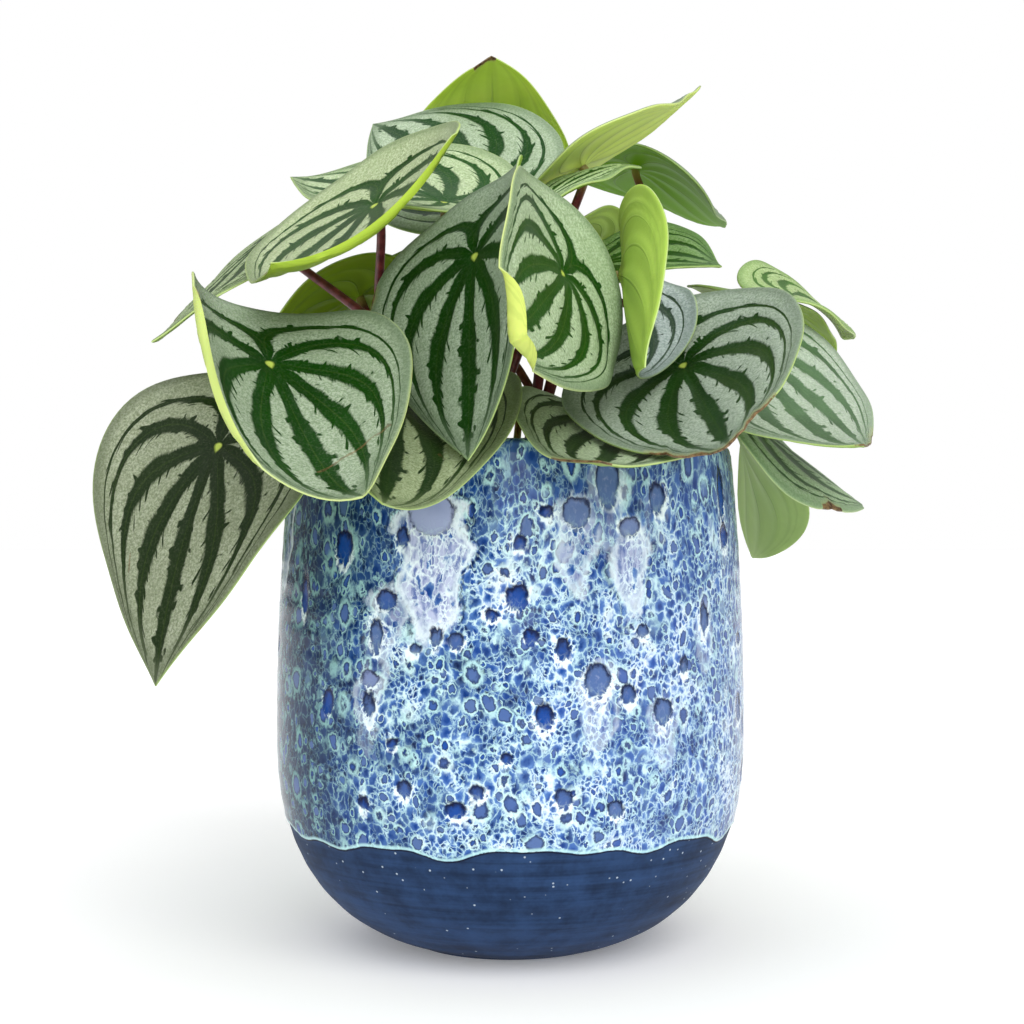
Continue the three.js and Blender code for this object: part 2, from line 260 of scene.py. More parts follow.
def makeStudio():
    deselectAll()
    bpy.ops.mesh.primitive_plane_add(size=studio["floorSize"])
    floor = bpy.context.object
    floor.name = "floor"
    material, shader = newMaterial("paleFloor")
    setSockets(
        shader, Base_Color=studio["floorColour"], Roughness=0.9, Specular_IOR_Level=0.1,
        Emission_Color=(1, 1, 1, 1), Emission_Strength=studio["floorGlow"])
    floor.data.materials.append(material)
    for name, light in lights.items():
        lamp = bpy.data.objects.new(name, bpy.data.lights.new(name, "SUN"))
        bpy.context.scene.collection.objects.link(lamp)
        lamp.data.angle = math.radians(light["spread"])
        lamp.data.energy = light["power"]
        lamp.data.color = light["colour"]
        lamp.location = light["place"]
        lamp.rotation_euler = (-lamp.location).to_track_quat("-Z", "Y").to_euler()
    world = bpy.data.worlds.new("studioWorld")
    bpy.context.scene.world = world
    world.use_nodes = True
    nodes, links = world.node_tree.nodes, world.node_tree.links
    background = nodes["Background"]
    setSockets(background, Color=(1, 1, 1, 1))
    # the backdrop is plain white, and the light that falls on the plant is softer than it
    seen = nodes.new("ShaderNodeLightPath")
    level = nodes.new("ShaderNodeMapRange")
    setSockets(level, To_Min=studio["skyLight"], To_Max=studio["backdrop"])
    links.new(seen.outputs["Is Camera Ray"], level.inputs["Value"])
    links.new(level.outputs[0], background.inputs["Strength"])
    bpy.context.scene.view_settings.view_transform = "Standard"


makeStudio()
print("studio is set")


# the pot: a wheel-thrown body, glazed above a wavy line

pot = dict(
    height=148, widest=70, rim=66, shoulder=62, footCurve=10.7, footCut=1.6, roundness=2.36,
    wall=5, floor=8, sides=360, ringStep=1.05, lipSteps=10,
    insideHeights=(142, 136, 130, 118, 100, 80, 62, 50, 40, 30, 22, 15, 11, 9), floorInset=6,
    glazeLine=36.6, glazeWave=1.0, glazeThickness=0.35, handWobble=0.12, poolDepth=0.3,
)


def wallRadius(height):
    if height < pot["shoulder"]:
        drop = 1 - (height + pot["footCut"]) / (pot["shoulder"] + pot["footCut"])
        reach = (1 - drop ** pot["roundness"]) ** (1 / pot["roundness"])
        return pot["footCurve"] + (pot["widest"] - pot["footCurve"]) * reach
    rise = (height - pot["shoulder"]) / (pot["height"] - pot["shoulder"])
    return pot["widest"] - (pot["widest"] - pot["rim"]) * rise ** 2


# each pool in the glaze: angle round from the front in degrees, height, width, length of its head,
# how far its pale run reaches down, and its tone: 0 deep blue, 1 grey violet, 2 pale lilac
glazePools = [
    (-18, 127, 12.5, 10.5, 29, 1.8), (-29, 104.5, 6.2, 5.5, 17, 0.4), (-31.5, 95, 4.4, 10, 8, 1.0),
    (-33, 83, 5.6, 4.5, 15, 1.5), (-33, 75.5, 4.0, 8.5, 10, 0.6), (1.3, 105.6, 6.2, 6.8, 7, 0.0),
    (-4, 101, 4.0, 4.2, 3, 0.1), (4.5, 95, 3.8, 4.2, 3, 0.0), (-12, 94, 4.4, 4.6, 5, 0.5),
    (-21.5, 91.5, 3.4, 3.6, 4, 0.7), (-16.5, 94.5, 3.2, 6.2, 4, 0.9), (11.5, 91.5, 4.4, 6.8, 6, 0.2),
    (19.5, 83, 7.2, 9.2, 15, 0.7), (27, 79, 4.6, 6.0, 6, 0.5), (36.5, 74, 5.6, 7.8, 13, 0.8),
    (51, 98, 4.0, 9.5, 12, 0.9), (7.5, 73.8, 4.8, 7.4, 7, 0.0), (15, 127.8, 7.4, 8, 18, 1.2),
    (28, 124, 6.4, 5.6, 22, 1.3), (23, 136.5, 7.6, 14, 12, 1.1), (36.5, 132, 6.0, 9, 9, 0.9),
    (63, 133, 4.6, 16, 8, 0.1), (63, 121, 5.0, 8, 8, 0.2), (-24, 54, 4.6, 5.2, 4, 0.4),
    (-12, 49, 5.2, 5.0, 4, 0.1), (-7, 54, 4.0, 4.6, 4, 0.3), (11.5, 52, 4.6, 5.4, 6, 0.5),
    (-35, 49, 3.4, 5.6, 4, 0.0), (24, 48.5, 4.8, 5.0, 3, 0.7), (-46, 76, 4.2, 7.4, 5, 0.1),
    (-42, 118, 6.4, 9.5, 6, 0.0), (-57, 105, 4.0, 12, 5, 0.1), (-25, 121, 4.4, 6, 5, 0.3),
    (43, 86, 3.4, 5.6, 6, 0.9), (2, 120, 3.6, 5.2, 4, 0.1), (8, 128, 3.8, 4.4, 3, 0.1),
    (-27, 66, 3.6, 4.0, 3, 0.2), (-1, 63, 3.4, 3.6, 3, 0.2), (31, 96, 3.8, 4.2, 4, 0.8),
]


def morePools(seed=11, wanted=70):
    # the sides and the back carry pools of the same kinds
    chance = random.Random(seed)
    pools = list(glazePools)
    for _ in range(wanted):
        big = chance.random() < 0.22
        width = chance.uniform(5.5, 9) if big else chance.uniform(3.2, 5.2)
        pools.append((
            chance.uniform(68, 292), chance.uniform(46, 136), width, width * chance.uniform(0.9, 1.7),
            width * chance.uniform(1.5, 2.8) if big else width, chance.choice([0, 0.1, 0.4, 0.8, 1.2]),
        ))
    return pools


def glazeLineAt(angle):
    wave = (
        0.9 * np.sin(9 * angle + 0.6) + 0.7 * np.sin(14 * angle + 2.1)
        + 0.45 * np.sin(23 * angle + 4.0) + 0.8 * np.sin(3 * angle + 1.0)
    )
    return pot["glazeLine"] + pot["glazeWave"] * wave


def paintGlaze(body):
    places = points(body) / mm
    angle = np.arctan2(places[:, 0], -places[:, 1])
    height = places[:, 2]
    aboveLine = height - glazeLineAt(angle)
    nearest = np.full(len(places), 9.0)
    tone = np.zeros(len(places))
    upward = np.zeros(len(places))
    halo = np.zeros(len(places))
    runEdge = np.full(len(places), 9.0)
    runPale = np.zeros(len(places))
    for turn, poolHeight, width, length, run, poolTone in morePools():
        away = (angle - math.radians(turn) + math.pi) % (2 * math.pi) - math.pi
        across = away * 68
        below = poolHeight - height
        narrowing = 1 - 0.35 * np.clip(below / length, -0.5, 0.5)
        reach = np.sqrt((across / (width * 0.54 * narrowing)) ** 2 + (below / (length * 0.56)) ** 2)
        edge = (reach - 1) * min(width, length) * 0.54
        ringGlow = np.exp(-(edge / min(1.1, width * 0.22)) ** 2) * np.clip(0.8 + below / length, 0.35, 1.1)
        # a run hangs from its pool, wide at the top and rounded below
        deep = length * 0.45 + run
        down = below / deep
        wide = (width * 0.7 + 0.1 * run) * (1 - 0.42 * np.clip(down, 0, 1))
        low = np.where(down > 0.35, (down - 0.35) / 0.65, (0.35 - down) / (0.35 + 0.55 * length / deep))
        sway = 0.12 * width * np.sin(below / 2.6 + turn)
        share = (np.abs((across + sway) / wide) ** 2.4 + np.abs(low) ** 2.4) ** (1 / 2.4)
        drop = (share - 1) * min(width * 0.6, deep / 2)
        runPale = np.where(drop < runEdge, np.clip(run / 20 - 0.3, 0, 1), runPale)
        runEdge = np.minimum(runEdge, drop)
        halo = np.maximum(halo, ringGlow * 0.8)
        tone = np.where(edge < nearest, poolTone, tone)
        upward = np.where(edge < nearest, np.clip(-below / (length / 2), -1, 1), upward)
        nearest = np.minimum(nearest, edge)
    layers = dict(aboveLine=aboveLine, poolEdge=nearest, poolTone=tone, poolHalo=halo, poolTop=upward)
    for name, values in dict(layers, runEdge=runEdge, runPale=runPale).items():
        paint(body, name, values)
    radius = np.hypot(places[:, 0], places[:, 1])
    outside = (radius > wallInside(height) + 1.5) & (height > 0.4) & (height < pot["height"] - 1)
    bead = 1 + 0.8 * np.exp(-(aboveLine / 1.4) ** 2)
    step = pot["glazeThickness"] * bead / (1 + np.exp(-aboveLine * 4))
    throwing = np.sin(height * 0.9 + 1.3 * np.sin(angle)) * 0.4 + np.sin(2 * angle + height * 0.05)
    wobble = pot["handWobble"] * throwing
    dent = pot["poolDepth"] * np.clip(-nearest / 1.5, 0, 1) * (aboveLine > 0)
    push = np.where(outside, step - pot["glazeThickness"] + wobble - dent, 0) * mm
    movePoints(body, (places + normals(body) * push[:, None] / mm) * mm)


def wallInside(height):
    return np.array([wallRadius(min(max(h, 0), pot["height"])) - pot["wall"] for h in height])


def makePot():
    foot = wallRadius(0)
    body = startDisc("potBody", pot["sides"], foot * mm, flip=True)
    last = (foot, 0)
    height = 0.0
    lip = pot["wall"] / 2
    while height < pot["height"] - lip - pot["ringStep"]:
        height += pot["ringStep"] * (0.25 if height < 2 else 0.5 if height < 10 else 1)
        last = growRing(wallRadius(height), height, last)
    for step in range(pot["lipSteps"] + 1):
        turn = math.pi * step / pot["lipSteps"]
        last = growRing(
            pot["rim"] - lip + lip * math.cos(turn), pot["height"] - lip + lip * math.sin(turn), last)
    for inner in pot["insideHeights"]:
        last = growRing(wallRadius(inner) - pot["wall"], inner, last)
    growRing(last[0] - pot["floorInset"], pot["floor"], last)
    closeRings()
    paintGlaze(body)
    smooth(body, 50)
    body.data.materials.append(glazeMaterial())
    finishPiece(body, "glazed_stoneware", "pot")


# line is the colour of the painted shadow under the glaze's edge
glazeColours = dict(
    deep=rgb(2, 12, 50), cobalt=rgb(20, 72, 156), pool=rgb(84, 110, 160), sky=rgb(112, 160, 226),
    sheenViolet=rgb(140, 156, 226), mint=rgb(194, 238, 238), foam=rgb(236, 250, 255), lilac=rgb(188, 196, 226),
    slate=rgb(100, 118, 174), shadeTeal=rgb(12, 34, 48), shadeSeaGreen=rgb(124, 176, 174), line=rgb(10, 20, 44),
    body=rgb(40, 68, 110), bodyDark=rgb(14, 34, 62), speck=rgb(190, 206, 222),
)


# the scales of the patterns, and for each size of round bubble its scale, how rare it is and how wide
glazeScales = dict(
    warps=((260, 2, 0.6, 0.0022), (70, 1, 0.5, 0.004), (1100, 2, 0.6, 0.0011)),
    fineWeb=700, broadWeb=360, webPatches=170, specks=520,
    bubbles=((330, 0.55, 0.2), (205, 0.45, 0.2), (120, 0.45, 0.16)),
)


def bubbleWeb(vector, scale):
    # the distance from the web between bubbles, the bubble's tone, how far its middle is, and another tone
    edges = addNode("TexVoronoi", dict(feature="DISTANCE_TO_EDGE"), Vector=vector, Scale=scale)
    cells = addNode("TexVoronoi", Vector=vector, Scale=scale)
    apart = addNode("SeparateColor", Color=cells["Color"])
    return edges["Distance"], apart[0], cells["Distance"], apart[1]


def glazeMaterial():
    c = glazeColours
    material, shader = newMaterial("reactiveBlueGlaze")
    coords = objectPlace()
    place = addNode("SeparateXYZ", Vector=coords)
    sideways, height = place["X"], place["Z"]
    aboveLine, poolEdge, poolTone, poolHalo, poolTop, runEdge, runPale = (
        attribute(name)
        for name in ("aboveLine", "poolEdge", "poolTone", "poolHalo", "poolTop", "runEdge", "runPale"))

    # the glaze has run downwards, more and more towards the rim
    climb = calc("MAXIMUM", height - 0.1, 0.0)
    runDown = height * 0.82 - climb * climb * 4.2
    flowing = addNode("CombineXYZ", X=sideways, Y=place["Y"], Z=runDown)[0]
    warped = flowing
    for scale, detail, rough, reach in glazeScales["warps"]:
        swirl = vectorCalc("SUBTRACT", noise(flowing, scale, detail, rough, "Color"), (0.5, 0.5, 0.5))
        warped = vectorCalc("ADD", warped, vectorCalc("SCALE", swirl, scale=reach))
    clouds = noise(coords, 30, 3, 0.6)
    patches = noise(warped, 105, 3, 0.65)
    flecks = noise(warped, 900, 2, 0.6)

    # how much of the pale web shows, from place to place, with less of it to the left as painted shade
    pale = (
        0.44 + fade(sideways, -0.066, -0.01, -0.54, 0.0) + aboutHalf(clouds, 0.9)
        + aboutHalf(patches, 2.0) + fade(height, 0.12, 0.142, 0.0, -0.45) + poolHalo * 0.5)
    depth = fade(pale, 0.1, 1.0)

    # fine bubbles, with broad ones among them
    fineOnes, broadOnes = (bubbleWeb(warped, glazeScales[web]) for web in ("fineWeb", "broadWeb"))
    patchy = noise(warped, glazeScales["webPatches"], 1, 0.5)
    choice = fade(patchy + aboutHalf(broadOnes[1], 0.25), 0.46, 0.56)
    webEdge, ownTone, spot = (
        fine * (1.0 - choice) + broad * choice for fine, broad in zip(fineOnes[:3], broadOnes[:3]))
    webWidth = fade(pale, 0.0, 1.1, 0.1, 0.3) + aboutHalf(flecks, 0.16)
    web = fade(webEdge, webWidth, -0.04) ** 1.3
    between = fade(spot + aboutHalf(flecks, 0.4) + pale * 0.22, 0.62, 1.05)
    web = calc("MAXIMUM", web, between)
    web = web * fade(pale, 0.0, 0.6, 0.5, 1.0)

    blues = mix(ownTone * 0.7 + depth * 0.25, c["deep"], c["cobalt"])
    blues = mix(fade(pale, 0.0, 0.8, 0.3, 1.0) * fade(spot, 0.12, 0.6, 0.0, 0.62), blues, c["sky"])
    # the front left side turned teal and sea green: painted shade on the side away from the key light
    left = (
        fade(sideways + aboutHalf(clouds, 0.05), -0.022, -0.06)
        * fade(place["Y"], 0.03, -0.02, 0.35, 1.0))
    blues = mix(left * 0.72, blues, c["shadeTeal"])
    webColour = mix(depth, c["mint"], c["foam"])
    webColour = mix(left, webColour, c["shadeSeaGreen"])
    glaze = mix(web * 0.97, blues, webColour)

    # rounder dark bubbles, each with a pale ring
    for scale, least, size in glazeScales["bubbles"]:
        _, tone, middle, other = bubbleWeb(warped, scale)
        shown = fade(tone, least, least + 0.04)
        reach = size + other * (size * 0.9)
        gap = middle + aboutHalf(flecks, 0.12) - reach
        ring = fade(gap, 0.17, 0.02) * shown
        glaze = mix(ring * 0.75, glaze, webColour)
        inside = fade(gap, 0.025, -0.035) * shown
        hollow = mix(
            fade(gap, -0.01, -0.12, 0.25, 1.0), c["deep"], mix(other, c["cobalt"], c["pool"]))
        glaze = mix(inside, glaze, hollow)

    # more lilac to the right, a painted sheen on the side the key light falls on
    right = fade(sideways + aboutHalf(clouds, 0.06), -0.005, 0.045)
    glaze = mix(right * 0.1, glaze, c["sheenViolet"])

    # pale rings round the pools, and the runs that hang from them with a white edge and dark ripples below
    haloMask = fade(poolHalo + aboutHalf(patches, 0.9) + web * 0.45, 0.5, 1.05)
    glaze = mix(haloMask * 0.85, glaze, c["foam"])
    runWavy = (
        runEdge + aboutHalf(patches, 5.0) + aboutHalf(flecks, 1.6)
        + aboutHalf(noise(coords, 150, 2, 0.6), 2.4))
    streaks = noise(vectorCalc("MULTIPLY", warped, (1.0, 1.0, 0.35)), 620, 2, 0.6)
    runCells = mix(fade(streaks, 0.36, 0.62), c["slate"], c["lilac"])
    runFill = mix(
        calc("MAXIMUM", web, fade(runWavy, -2.2, -0.3, 0.0, 0.85)),
        mix(fade(ownTone, 0.78, 0.86), runCells, blues), c["foam"])
    glaze = mix(fade(runWavy, 0.5, -0.6) * (runPale * 0.95), glaze, runFill)
    ripple = fade(runWavy, 0.4, 0.7) * fade(runWavy, 1.3, 0.9)
    glaze = mix(ripple * fade(runPale, 0.55, 1.0) * 0.6, glaze, c["deep"])

    # the pools themselves: a dark edge above, a painted shadow of the pool's upper rim, and below it the
    # web closes over them
    lower = fade(poolTop, 0.2, -1.0)
    wavyEdge = (
        poolEdge + aboutHalf(patches, 2.2) + aboutHalf(flecks, 1.1)
        + aboutHalf(noise(warped, 300, 1, 0.5), 1.6) + lower * web * 0.9)
    poolMask = fade(wavyEdge, 0.25, -0.45)
    # darker towards each pool's top: painted shadow under its rim
    poolRimShadow = fade(poolTop, -0.7, 0.5, 0.3, 1.0)
    depthIn = wavyEdge + aboutHalf(flecks, 0.8)
    poolDeep = mix(fade(depthIn, -2.0, -0.3, 0.15, 1.0) * poolRimShadow, c["cobalt"], c["deep"])
    poolPale = mix(
        fade(depthIn, -1.1, -0.1) * poolRimShadow, mix(clouds, c["lilac"], c["slate"]), c["deep"])
    poolGrey = mix(
        fade(depthIn, -1.5, -0.2) * poolRimShadow,
        mix(fade(flecks, 0.5, 0.9, 0.0, 0.4), c["pool"], c["lilac"]), c["deep"])
    pool = mix(fade(poolTone, 0.0, 0.9), poolDeep, poolGrey)
    pool = mix(fade(poolTone, 1.0, 1.9), pool, poolPale)
    pool = mix(lower * (web * 0.35), pool, webColour)
    glaze = mix(poolMask, glaze, pool)

    # the edge of the glaze: a mint line over a dark one, which is painted shadow under the glaze's raised
    # edge
    edge = aboveLine + aboutHalf(patches, 1.0)
    mintLine = fade(edge, 0.15, 0.45) * fade(edge, 1.5, 0.7)
    glaze = mix(mintLine * 0.75, glaze, c["mint"])
    glazeEdgeShadow = fade(edge, -0.5, -0.1) * fade(edge, 0.35, 0.1)

    # the bare body below
    rings = addNode("CombineXYZ", X=0.03, Y=0.03, Z=1.0)[0]
    throwing = noise(vectorCalc("MULTIPLY", coords, rings), 420, 3, 0.6)
    mottle = noise(coords, 85, 4, 0.7)
    bare = mix(fade(throwing * 0.45 + mottle * 0.55, 0.3, 0.68), c["bodyDark"], c["body"])
    specks = addNode("TexVoronoi", Vector=coords, Scale=glazeScales["specks"])
    chosen = addNode("SeparateColor", Color=specks["Color"])[0]
    rarity = fade(aboveLine, -18, 0, 0.95, 0.72)
    speck = fade(specks["Distance"], 0.22, 0.1) * calc("GREATER_THAN", chosen, rarity)
    bare = mix(speck * 0.8, bare, c["speck"])

    glazed = fade(edge, -0.1, 0.2)
    colour = mix(glazed, bare, glaze)
    colour = mix(glazeEdgeShadow, colour, c["line"])
    rough = mix(glazed, (0.6, 0.6, 0.6, 1), (0.12, 0.12, 0.12, 1))
    setSockets(shader, Base_Color=colour, Roughness=rough, IOR=1.45, Specular_IOR_Level=0.2)
    relief = glazed * (web * 0.4 - poolMask) + (1.0 - glazed) * (throwing * 0.8 + speck) + clouds * 1.5
    bump(shader, relief, 0.00022, 0.7)
    return material


makePot()
print("pot is thrown and glazed")


# the leaves, each one blade with its own heading, size and bend, in millimetres and degrees

usualShape = dict(taper=1.05, droop=15, baseLift=10, tipCurl=0, cupLeft=10, cupRight=10, twist=0)
usualStalk = dict(rise=25, reach=20, sway=0)
leaves = {
    "front_left": dict(hub=(-62, -80, 167), turn=(-60, -45, 0), size=(92, 72), droop=-10, tipCurl=-40,
        cupLeft=50, cupRight=80, twist=25, crown="front", reach=30, sway=13),
    "front_middle": dict(hub=(-10, -57, 198), turn=(-95, -60, 35), size=(88, 72), droop=10, tipCurl=-10,
        cupLeft=65, cupRight=5, crown="front", reach=35, sway=-15),
    "middle_right": dict(hub=(14, -80, 190), turn=(-100, -20, -62), size=(92, 60), baseLift=-35,
        tipCurl=-15, cupLeft=-10, cupRight=15, twist=-10, crown="front", rise=95, reach=40, sway=15),
    "curled": dict(hub=(31, -52, 193), turn=(-95, -35, -85), size=(71, 55), droop=-15, baseLift=0,
        cupLeft=120, cupRight=45, twist=-35, crown="front", rise=50, reach=12),
    "front_right": dict(hub=(47, -51, 169), turn=(-80, -30, 30), size=(94, 70), droop=-15, baseLift=-30,
        tipCurl=-10, cupLeft=15, cupRight=25, twist=5, crown="right"),
    "rim_middle": dict(hub=(-30, -49, 157), turn=(-90, -20, -10), size=(95, 70), droop=20, baseLift=0,
        tipCurl=-35, cupLeft=50, cupRight=40, twist=-20, crown="front", rise=16),
    "rim_right": dict(hub=(31, -47, 152), turn=(-100, -16, -12), size=(86, 62), droop=0, baseLift=30,
        tipCurl=-25, cupLeft=22, cupRight=18, twist=10, crown="front", rise=16),
    "hanging_left": dict(hub=(-81, -46, 147), turn=(-125, -60, -10), size=(95, 72), droop=25, cupLeft=5,
        cupRight=15, twist=15, crown="left", rise=50),
    "upper_left": dict(hub=(-38, -44, 214), turn=(-105, -35, 20), size=(93, 73), droop=-15, baseLift=-30,
        tipCurl=-30, cupLeft=35, twist=-5, crown="left", rise=40, reach=12, sway=-30),
    "far_left": dict(hub=(-72, -7, 210), turn=(-120, -35, 20), size=(86, 58), droop=5, tipCurl=-20,
        cupLeft=-20, cupRight=-10, twist=5, crown="front", rise=40, reach=12),
    "left_inside": dict(hub=(-48, 23, 197), turn=(160, -30, 5), size=(75, 56), droop=20, tipCurl=-10,
        cupLeft=5, cupRight=5, twist=-15, crown="left", rise=8, reach=6),
    "top_back": dict(hub=(-6, 92, 253), turn=(-90, 20, -5), size=(91, 59), droop=0, tipCurl=5, cupLeft=-25,
        cupRight=-5, twist=5, crown="left", rise=55, reach=35, sway=10),
    "top": dict(hub=(-10, 27, 233), turn=(135, 31, -40), size=(87, 64), droop=13, baseLift=-5, tipCurl=-2,
        cupLeft=2, cupRight=11, twist=-11, crown="right", rise=71, reach=23, sway=35),
    "top_right": dict(hub=(21, 2, 234), turn=(32, 28, -26), size=(78, 63), taper=1.3, droop=-3, baseLift=4,
        tipCurl=-16, cupLeft=17, cupRight=-18, twist=11, crown="left", rise=110, reach=5, sway=35),
    "upper_middle": dict(hub=(-19, -13, 220), turn=(150, 20, -17), size=(83, 60), droop=25, baseLift=-20,
        tipCurl=-25, cupRight=40, twist=-15, crown="left", rise=40, reach=30, sway=15),
    "upper_right": dict(hub=(42, 58, 244), turn=(53, -14, 0), size=(85, 64), taper=1.3, droop=10,
        tipCurl=-43, cupLeft=5, cupRight=-50, twist=19, crown="right", rise=65, reach=5, sway=-35),
    "small_upper": dict(hub=(6, -25, 214), turn=(20, 45, 0), size=(54, 37), droop=35, tipCurl=15,
        cupLeft=-5, cupRight=5, twist=25, crown="front", rise=90, reach=35, sway=10),
    "back_inside": dict(hub=(26, 47, 215), turn=(-150, -20, 35), size=(56, 37), droop=5, baseLift=15,
        tipCurl=5, cupRight=20, twist=-10, crown="front", rise=50, reach=12, sway=-30),
    "right_inside": dict(hub=(26, 3, 203), turn=(-50, 0, 25), size=(69, 58), tipCurl=-5, cupLeft=20,
        cupRight=-25, twist=-20, crown="right", rise=90, reach=30, sway=20),
    "right": dict(hub=(72, -6, 178), turn=(-65, -50, 0), size=(92, 70), droop=-30, tipCurl=-30, cupLeft=-10,
        cupRight=0, twist=5, crown="front", rise=50, reach=12, sway=-15),
    "right_low": dict(hub=(72, -2, 155), turn=(45, -20, 35), size=(91, 72), droop=10, baseLift=0,
        tipCurl=-15, cupLeft=30, cupRight=-20, twist=-15, crown="right", rise=40, reach=12),
    "right_hanging": dict(hub=(76, 55, 156), turn=(70, -40, 75), size=(92, 75), droop=20, baseLift=0,
        tipCurl=-20, cupLeft=30, cupRight=55, twist=-15, crown="right"),
    "right_small": dict(hub=(89, 21, 196), turn=(60, 0, 20), size=(73, 40), baseLift=15, tipCurl=10,
        cupLeft=35, cupRight=-20, twist=30, crown="back", rise=50, sway=15),
    "right_behind": dict(hub=(77, 49, 198), turn=(35, -15, 5), size=(64, 48), cupLeft=20, cupRight=-5,
        twist=-5, crown="right"),
    "back_right_middle": dict(hub=(42, 56, 167), turn=(75, -20, -25), size=(84, 66), crown="back",
        rise=16),
    "back_low": dict(hub=(3, 70, 165), turn=(78, 0, 2), size=(90, 70), cupLeft=0, twist=8, crown="back",
        rise=16),
    "back_left_middle": dict(hub=(-30, 62, 179), turn=(135, -34, -22), size=(84, 66), cupLeft=0, twist=-5,
        crown="back", reach=12),
    "back_left": dict(hub=(-67, 29, 158), turn=(156, -50, 0), size=(84, 66), cupLeft=0, crown="left",
        rise=16, reach=12),
    "back_upper_right": dict(hub=(20, 49, 192), turn=(75, 4, 15), size=(80, 62), crown="right", rise=60,
        reach=55, sway=10),
    "back_upper_left": dict(hub=(-33, 44, 208), turn=(115, -26, -28), size=(78, 64), crown="right", rise=50,
        reach=12, sway=-15),
}

blade = dict(
    thickness=0.9, edgeThickness=0.45, hubPlace=0.27, baseRoundness=0.52,
    around=96, rings=24, firstRing=0.03, hubDip=1.1, hubSpread=0.09, marginStart=0.985, pillow=0.5,
    ripple=0.55, bandGap=0.25, outerBand=4,
)

# each leaf's tints: partly its own tone, and partly painted light and shade, made lighter or darker to
# match how the leaf is lit, with undersides brightened to paint the light shining through them
usualLook = dict(silver=(178, 196, 160), band=(20, 66, 8), under=(142, 178, 62))
leafTonesAndPaintedLight = {
    "front_left": dict(silver=(162, 180, 150), band=(12, 60, 2), under=(196, 212, 124)),
    "front_middle": dict(silver=(166, 186, 158), band=(16, 60, 6)),
    "middle_right": dict(silver=(182, 204, 160), band=(8, 68, 0), under=(206, 220, 112)),
    "curled": dict(silver=(172, 188, 182), band=(40, 66, 44), under=(172, 204, 88)),
    "front_right": dict(silver=(168, 184, 164), band=(20, 58, 8)),
    "rim_middle": dict(silver=(178, 194, 148), band=(22, 54, 6), under=(130, 160, 60)),
    "rim_right": dict(silver=(184, 204, 164), band=(18, 52, 10), under=(150, 176, 84)),
    "hanging_left": dict(silver=(146, 156, 124), band=(24, 42, 8)),
    "upper_left": dict(silver=(186, 202, 152), band=(26, 70, 6), under=(168, 196, 66)),
    "far_left": dict(silver=(160, 180, 128), band=(44, 74, 26), under=(146, 176, 72)),
    "left_inside": dict(under=(148, 180, 44)),
    "top_back": dict(under=(190, 222, 70)),
    "top": dict(silver=(182, 202, 168), band=(18, 68, 14), under=(150, 190, 70)),
    "top_right": dict(under=(214, 234, 112)),
    "upper_middle": dict(silver=(194, 214, 164), band=(18, 76, 4), under=(170, 204, 70)),
    "upper_right": dict(under=(106, 158, 0)),
    "small_upper": dict(silver=(184, 210, 150), band=(30, 82, 14), under=(150, 190, 60)),
    "back_inside": dict(under=(160, 190, 90)),
    "right_inside": dict(silver=(120, 160, 84), band=(24, 76, 6), under=(140, 180, 50)),
    "right": dict(silver=(184, 198, 178), band=(84, 116, 78)),
    "right_low": dict(silver=(176, 202, 160), band=(70, 104, 60), under=(160, 184, 120)),
    "right_hanging": dict(under=(166, 194, 112)),
    "right_small": dict(silver=(182, 208, 138), band=(70, 116, 40), under=(160, 190, 90)),
    "right_behind": dict(silver=(170, 196, 120), band=(70, 110, 40), under=(150, 182, 70)),
}


def marginAt(leaf, share):
    # the margin at a share of its way from the tip, 0, round to the base, 1, or -1 on the right side
    length, width = leaf["size"]
    along = (1 + np.cos(np.linspace(0, math.pi, 601))) / 2
    roundness, taper = blade["baseRoundness"], leaf["taper"]
    widestAt = roundness / (roundness + taper)
    peak = widestAt ** roundness * (1 - widestAt) ** taper
    half = width / 2 * along ** roundness * (1 - along) ** taper / peak
    ahead = length * (along - blade["hubPlace"])
    travelled = np.concatenate([[0], np.cumsum(np.hypot(np.diff(ahead), np.diff(half)))])
    travelled /= travelled[-1]
    amount = np.abs(share)
    return np.interp(amount, travelled, ahead), np.interp(amount, travelled, half) * np.sign(share)


def bendBlade(leaf, ahead, side):
    # bends flat points along the midrib, cups them across it and twists them about it
    length, width = leaf["size"]
    toTip, toBase = length * (1 - blade["hubPlace"]), length * blade["hubPlace"]
    reach = np.linspace(-toBase * 1.02, toTip * 1.02, 241)
    share = np.where(reach >= 0, reach / toTip, -reach / toBase)
    falling = -(leaf["droop"] * share + leaf["tipCurl"] * share ** 4)
    slope = np.radians(np.where(reach >= 0, falling, leaf["baseLift"] * share))
    step = np.diff(reach)
    ribX = np.concatenate([[0], np.cumsum((np.cos(slope[1:]) + np.cos(slope[:-1])) / 2 * step)])
    ribZ = np.concatenate([[0], np.cumsum((np.sin(slope[1:]) + np.sin(slope[:-1])) / 2 * step)])
    ribX -= np.interp(0, reach, ribX)
    ribZ -= np.interp(0, reach, ribZ)
    x, z, tilt = (np.interp(ahead, reach, values) for values in (ribX, ribZ, slope))
    curl = np.radians(np.where(side >= 0, leaf["cupLeft"], leaf["cupRight"])) / (width / 2)
    curl = np.where(np.abs(curl) < 1e-6, 1e-6, curl)
    across = np.sin(curl * np.abs(side)) / curl * np.sign(side)
    lift = (1 - np.cos(curl * np.abs(side))) / curl
    twist = np.radians(leaf["twist"]) * ahead / toTip
    raised = lift * np.cos(tilt)
    return np.stack([
        x - lift * np.sin(tilt),
        across * np.cos(twist) - raised * np.sin(twist),
        z + across * np.sin(twist) + raised * np.cos(twist),
    ], axis=1)


